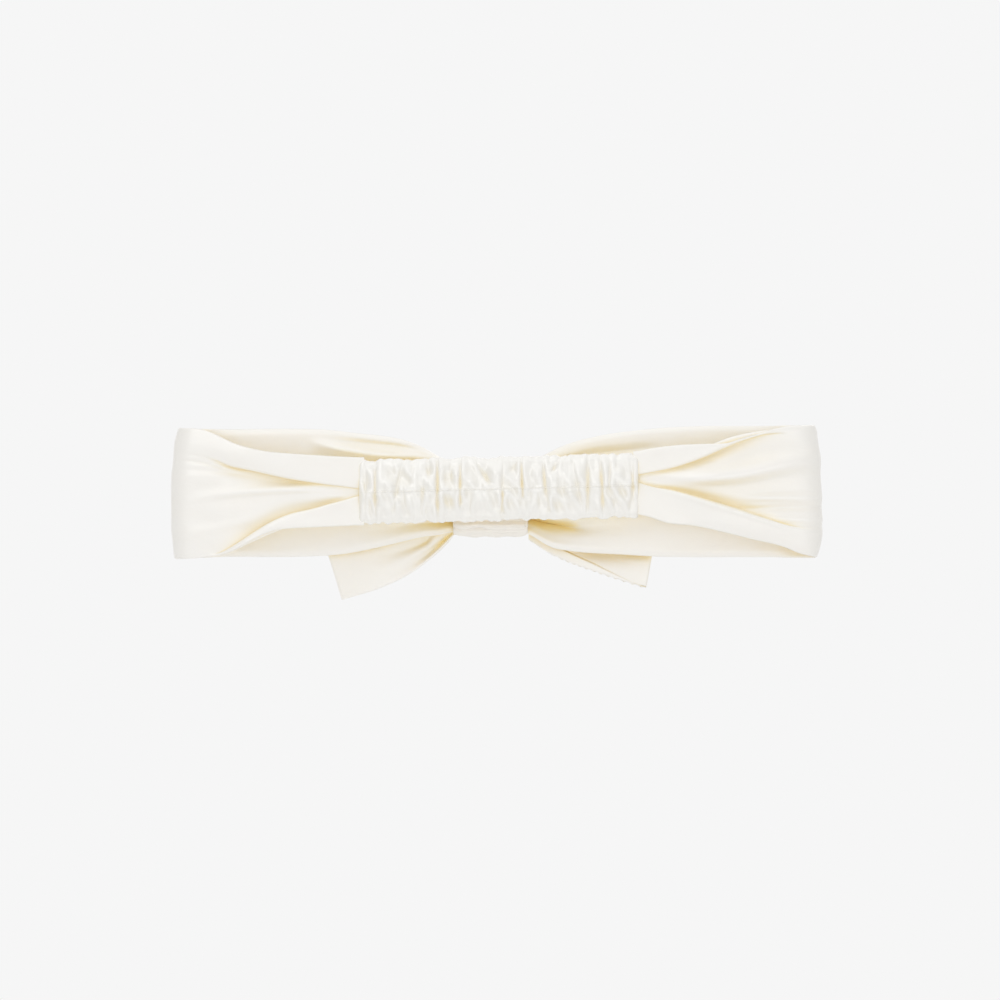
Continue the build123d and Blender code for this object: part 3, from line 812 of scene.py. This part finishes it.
def knot_wrap():
    """The short pleated strip that wraps the gathers, lapped and sewn low on the back."""
    half_x = (KNOT_HIGH[0] - KNOT_LOW[0]) / 2
    half_y, middle_y = (KNOT_HIGH[1] - KNOT_LOW[1]) / 2, (KNOT_HIGH[1] + KNOT_LOW[1]) / 2
    half_z = (KNOT_HIGH[2] - KNOT_LOW[2]) / 2
    x = np.linspace(-half_x, half_x, 130)[:, None]
    turn = np.linspace(0, 2 * pi, 220, endpoint=False)[None, :]  # 0 is the back, a quarter is the bottom
    back, down = np.cos(turn), np.sin(turn)
    squareness = 0.72  # 1 would be an ellipse, and less is squarer
    y = -np.sign(back) * np.abs(back) ** squareness
    z = -np.sign(down) * np.abs(down) ** squareness
    front = np.clip(-back, 0, 1)
    # folds run round the strip and lean a little across the front
    across = x / half_x + 0.10 * np.sin(turn) * front
    folds = np.abs(np.sin(pi * (2.1 * across + 0.35 + 0.15 * np.sin(2 * turn + 0.6)))) ** 0.7
    fold_depth = 0.06 + 1.44 * smoothstep(0.0, 0.6, front)
    depth = fold_depth * (folds - 0.75) + 0.20 * ripples(x, turn * 9, 90, (7.0, 16.0))
    flat_share = 0.72  # beyond this share of its width the strip rounds off
    side_round = 1.3 * np.clip(np.abs(x) / half_x - flat_share, 0, 1) ** 2 / (1 - flat_share) ** 2
    # the strip's end laps over its start, low on the back
    angle = np.arctan2(down, back)
    lap_start, lap_edge = 0.52, 0.53
    lap = 0.9 * smoothstep(lap_start, 0.60, angle) * (1 - smoothstep(0.60, 1.5, angle))
    sag = 1.7 * np.exp(-(((angle - 0.85) / 0.5) ** 2))
    # two creases below the lap, which wander a little
    wander = 0.05 * np.sin(x / 3.7) + 0.03 * np.sin(x / 1.6 + 1)
    first = np.exp(-(((angle - 0.84 - wander) / 0.08) ** 2))
    second = np.exp(-(((angle - 1.14 + 0.6 * wander) / 0.08) ** 2))
    turned = -1.9 * first - 1.5 * second
    swell = depth - side_round + lap + turned
    waist = 1 - 0.05 * (1 - np.abs(x) / half_x) * front
    points = np.stack([
        KNOT_X + x + 0 * turn,
        middle_y + (half_y - 1.0) * y + swell * -back - sag,
        KNOT_Z + (half_z - 0.9) * waist * z - swell * down,
    ], axis=2)
    thickness = rounded_edges(130, 2 * half_x, DOUBLED, 0.8)[:, None]
    wrap = cloth_shell("knot_wrap_strip", points[:, ::-1], thickness, [WRAP, LINING], closed_v=True)
    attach(wrap, "knot")
    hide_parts("knot_wrap")
    edge = int(np.argmin(np.abs(turn[0] - lap_edge)))
    out, slant = np.array([0.0, -0.60, -0.36]), np.array([0.9, 0, 0])
    runs = []
    for place in np.linspace(-half_x + 2.0, half_x - 2.0, 11):
        i = int(np.argmin(np.abs(x[:, 0] - place)))
        low, high = points[i, edge - 2], points[i, edge + 4]
        runs.append([low + out + (high - low + slant) * t for t in np.linspace(0, 1, 5)])
    row = threads("wrap_stitch_thread", runs, WRAP_THREAD, THREAD)
    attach(row, "knot")
    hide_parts("wrap_stitches")


TAIL_ROOT = -1.5  # each tail starts this far inside the knot's side
TAILS = {
    # By distance from the knot's side: the lower edge, the upper edge and the right tail's turned lip.
    # "end" is how far out the slanted end lies at the lower and at the upper edge.
    # Each pucker is where it lies across the tail, its depth, its width, and how far out it starts and ends.
    -1: {"lower": [(TAIL_ROOT, -14.6), (2.4, -19.0), (9.8, -25.8), (17.2, -30.9), (26.5, -35.2),
                   (41.2, -39.8)],
         "upper": [(TAIL_ROOT, -4.4), (1.1, -3.4), (14.0, -0.6), (28.0, 0.5), (53.0, -2.0)],
         "end": (41.2, 53.0),
         "puckers": [(0.13, 2.2, 0.10, -1, 28), (0.33, 2.0, 0.085, 6, 34), (0.56, 0.9, 0.09, -1, 20),
                     (0.8, 0.9, 0.08, -1, 20)]},
    1: {"lower": [(TAIL_ROOT, -16.8), (2.5, -19.8), (8.4, -23.2), (24.7, -29.6), (42.3, -35.4)],
        "upper": [(TAIL_ROOT, -4.4), (1.1, -3.4), (13.0, -0.6), (26.0, 0.5), (48.5, -2.0)],
        "end": (42.3, 48.5), "lip": [(TAIL_ROOT, 2.6), (8, 4.0), (20, 3.2), (32, 1.8), (42, 0.6)],
        "puckers": [(0.22, 0.9, 0.09, -1, 16), (0.5, 1.4, 0.09, -1, 24), (0.78, 1.2, 0.08, -1, 24)]},
}
TAIL_LEAN = 2.2  # degrees
TAIL_COLUMNS, TAIL_ROWS = 110, 90


def tail(side, name, hinge):
    """One tail: the doubled strip fans out from the knot in radiating puckers to its slanted end."""
    shape = TAILS[side]
    lower, upper = curve_through(shape["lower"]), curve_through(shape["upper"])
    low_end, high_end = shape["end"]
    along = np.linspace(0, 1, TAIL_COLUMNS)[:, None]
    across = np.linspace(0, 1, TAIL_ROWS)[None, :]  # from the lower edge to the upper one
    reach = TAIL_ROOT + along * ((low_end + (high_end - low_end) * across) - TAIL_ROOT)
    width = upper(reach) - lower(reach)
    height = lower(reach) + width * across
    # puckers start deep at the knot and die out along the tail
    out = -0.3 * ripples(reach, height, 120 + side, (34, 26)) * smoothstep(0, 12, reach)
    for place, depth, spread, near, far in shape["puckers"]:
        fade = smoothstep(near, near + 4, reach) * (1 - smoothstep(near + 4, far, reach))
        out = out + depth * fade * np.exp(-(((across - place) / spread) ** 2))
    droop = 0.0016 * np.clip(reach - 8, 0, None) ** 2 * (1 - across)
    if side > 0:
        # it hangs back a little where it comes out under the band
        out = out + 1.2 * smoothstep(12, 22, reach) * np.exp(-(((height + 20) / 5) ** 2))
        # the lower edge turns up towards the band: the strip below the fold line comes round in front
        turned = curve_through(shape["lip"])(reach) / np.maximum(width, 1)
        share = across * (1 + turned) - turned  # below zero is the part in front of the fold
        behind, before = np.clip(share, 0, 1), np.clip(-share, 0, 1)
        height = lower(reach) + width * (behind + before)
        out = out * smoothstep(0, 0.25, behind + before)
        roll = 0.3 * (1 - np.exp(-before * width / 1.2)) + 0.08 * before * width
        out = out - np.where(share < 0, roll, 0)
    points = np.stack([
        hinge[0] + side * reach,
        hinge[1] + out + droop - np.tan(radians(TAIL_LEAN)) * reach,
        height,
    ], axis=2)
    points = blur(blur(points, 3, 1), 1, 0)
    if side < 0:
        points = points[:, ::-1]  # so that the outer face is outside
    thickness = rounded_edges(TAIL_ROWS, 36.0, DOUBLED, 0.9)[None, :]
    ends = np.sqrt(np.clip(1 - np.clip(along * 45 - 44.1, 0, 1) ** 2, 0.02, 1))  # its cut end is thinner
    blade = cloth_shell(f"{name}_tail", points, thickness * ends, [LINING, LINING])
    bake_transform(blade)
    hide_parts(f"{name}_tail_outer", f"{name}_tail_lining")


# -------- camera, light and floor

scene = bpy.context.scene
# the surround's brightness by height of view: -1 is straight down, 0 level and 1 straight up
SURROUND = [(-0.5, 0.93), (-0.22, 0.922), (0.22, 0.922), (0.36, 0.77), (0.6, 0.82), (0.85, 1.12)]
SIDES = 0.8  # how much of that is left at both sides
# name, place, size and power in watts
LIGHTS = [
    ("key_light", (-0.35, -0.90, 0.60), 0.5, 0.75),
    ("fill_light", (0.20, -1.00, -0.15), 0.5, 0.38),
    ("back_key_light", (0.35, 0.90, 0.60), 0.5, 0.7),
]


def look(name, place, target, data):
    """Adds a camera or light at place, pointing at target, both in metres."""
    thing = bpy.data.objects.new(name, data)
    scene.collection.objects.link(thing)
    thing.location = place
    thing.rotation_euler = (Vector(target) - Vector(place)).to_track_quat("-Z", "Y").to_euler()
    return thing


def studio():
    """The camera straight behind the closed band, the surround, three softboxes and the floor."""
    lens = bpy.data.cameras.new("camera")
    lens.lens, lens.sensor_width = 100.0, 36.0
    width_seen = 0.3698  # what the view spans at the object
    distance = width_seen / 2 / (lens.sensor_width / 2 / lens.lens)
    aim = (0.0013, 0.0, -0.0024)  # the middle of the photo's frame
    scene.camera = look("camera", (aim[0], -distance, aim[2]), aim, lens)

    # a pale backdrop all round, from below the object to its height, darker above it and brightest overhead
    world = bpy.data.worlds.new("studio")
    scene.world = world
    world.use_nodes = True
    nodes, links = world.node_tree.nodes, world.node_tree.links
    direction = nodes.new("ShaderNodeTexCoord")
    parts = nodes.new("ShaderNodeSeparateXYZ")
    links.new(direction.outputs["Generated"], parts.inputs["Vector"])
    steps = nodes.new("ShaderNodeValToRGB")
    ramp = steps.color_ramp.elements
    while len(ramp) < len(SURROUND):
        ramp.new(0.5)
    for stop, (place, grey) in zip(ramp, SURROUND):
        stop.position, stop.color = (place + 1) / 2, (grey / 2, grey / 2, grey / 2, 1)
    links.new(ranged(nodes, links, parts.outputs["Z"], (-1.0, 1.0)), steps.inputs["Fac"])
    # both far ends of the room are darker, so the side folds shade off
    aside = nodes.new("ShaderNodeMath")
    aside.operation = "ABSOLUTE"
    links.new(parts.outputs["X"], aside.inputs[0])
    dim = ranged(nodes, links, aside.outputs[0], (0.45, 0.85), (2.0, 2.0 * SIDES))
    links.new(steps.outputs["Color"], nodes["Background"].inputs["Color"])
    links.new(dim, nodes["Background"].inputs["Strength"])
    scene.cycles.diffuse_bounces = 12  # light has to find its way out of the folds
    scene.view_settings.view_transform = "Standard"

    for name, place, size, power in LIGHTS:
        light = bpy.data.lights.new(name, "AREA")
        light.shape, light.size, light.energy = "SQUARE", size, power
        look(name, place, (0, 0, 0), light)

    radius, level = 0.3, -0.25
    bpy.ops.mesh.primitive_circle_add(vertices=96, radius=radius, fill_type="NGON", location=(0, 0, level))
    floor = bpy.context.object
    floor.name = "floor"
    paper, _, _, shader, _ = blank("floor_paper")
    shader.inputs["Base Color"].default_value = (0.94, 0.94, 0.94, 1)
    shader.inputs["Roughness"].default_value = 0.9
    floor.data.materials.append(paper)


studio()
for side, name in ((-1, "left"), (1, "right")):
    pleated, gathered = half_band(side, name)
    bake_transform(pleated)
    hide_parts(f"back_{name}_outer", f"back_{name}_lining", f"{name}_upper_flap",
                f"{name}_lower_flap", f"{name}_fold_outer", f"{name}_fold_lining", f"front_{name}_outer",
                f"front_{name}_lining")
    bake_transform(gathered)
    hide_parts("front_gather_outer", "front_gather_lining")
elastic_casing()
knot_wrap()
for side, name, hinge in ((-1, "left", TAIL_LEFT), (1, "right", TAIL_RIGHT)):
    seam_allowance(side, name)
    tail(side, name, hinge)
# the CAD pieces that stay: nothing in scene.py replaces them
for node, material in (("woven_elastic", ELASTIC), ("tail_root", INNER)):
    for slot in frame["nodes"][node].material_slots:
        slot.material = material
